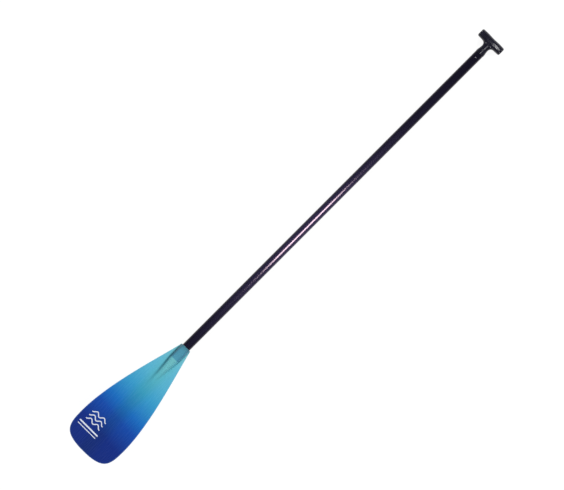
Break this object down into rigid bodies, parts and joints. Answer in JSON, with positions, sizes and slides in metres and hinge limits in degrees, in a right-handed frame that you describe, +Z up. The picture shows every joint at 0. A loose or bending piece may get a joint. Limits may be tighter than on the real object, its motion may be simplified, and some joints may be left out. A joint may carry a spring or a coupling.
{
  "type": "stand-up paddle",
  "caption": "One-piece stand-up paddle: long straight tubular shaft, T-grip, and a wide blade that leans forward from its socket.",
  "frame": {"origin": "on the floor that the paddle lies on, midway between the grip's top and the blade's tip, on the centre line", "axes": "+X along the shaft towards the grip, +Y across the blade, +Z up, out of the blade's front face"},
  "size_m": [1.78, 0.18, 0.0821],
  "materials": {
    "blade_front": "translucent fibreglass laminate, aqua at the neck to navy at the tip, semi-gloss",
    "blade_back": "translucent fibreglass laminate, aqua at the neck to navy at the tip, semi-gloss",
    "shaft": "clear-coated carbon fibre, near black",
    "grip": "moulded black plastic, semi-gloss",
    "foam": "closed-cell foam",
    "epoxy": "cured epoxy",
    "hot_melt": "hot-melt glue",
    "screw": "plain stainless steel"
  },
  "bodies": {
    "root": {"blade_front_skin": "blade_front", "blade_back_skin": "blade_back", "blade_spine_core": "foam", "neck_adhesive": "epoxy", "shaft_tube": "shaft", "shaft_lower_plug": "foam", "shaft_upper_plug": "foam", "grip_adhesive": "hot_melt", "grip_body": "grip", "grip_screw": "screw"}
  },
  "joints": []
}
